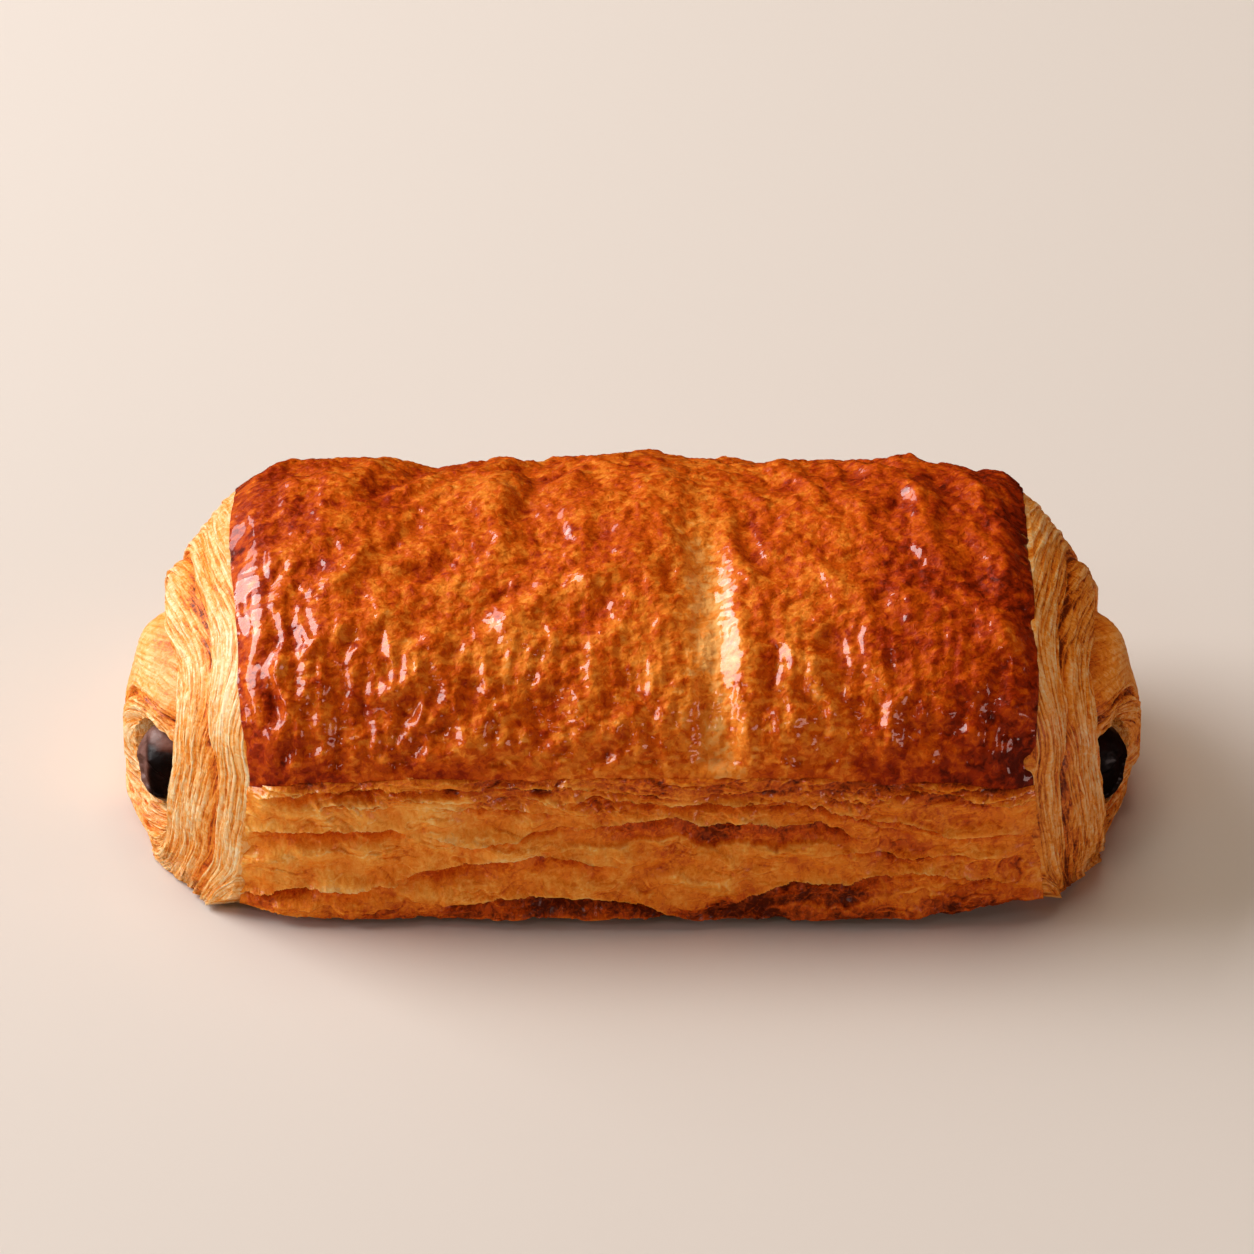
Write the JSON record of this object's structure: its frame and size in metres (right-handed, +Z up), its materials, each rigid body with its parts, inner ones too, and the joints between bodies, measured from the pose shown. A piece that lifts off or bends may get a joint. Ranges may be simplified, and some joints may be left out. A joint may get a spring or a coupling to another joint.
{
  "type": "pain au chocolat",
  "caption": "Oblong laminated pastry with a glossy glazed top, parted flaky sides, rounded wound ends and a chocolate baton that runs through it and shows at both ends.",
  "frame": {"origin": "on the surface that it rests on, under the centre of its bounding box", "axes": "+X along the roll, -Y towards the shown side, +Z up"},
  "size_m": [0.1198, 0.0654, 0.0367],
  "materials": {
    "baked_dough": "golden baked laminated dough, dry and flaky, with fine layers in its edges",
    "glazed_crust": "egg-washed and baked crust, glossy, blistered and deep amber brown",
    "dark_chocolate": "dark chocolate that melted and set again, half gloss with a faint bloom"
  },
  "bodies": {
    "root": {"pastry": "baked_dough", "chocolate_baton": "dark_chocolate"}
  },
  "joints": []
}
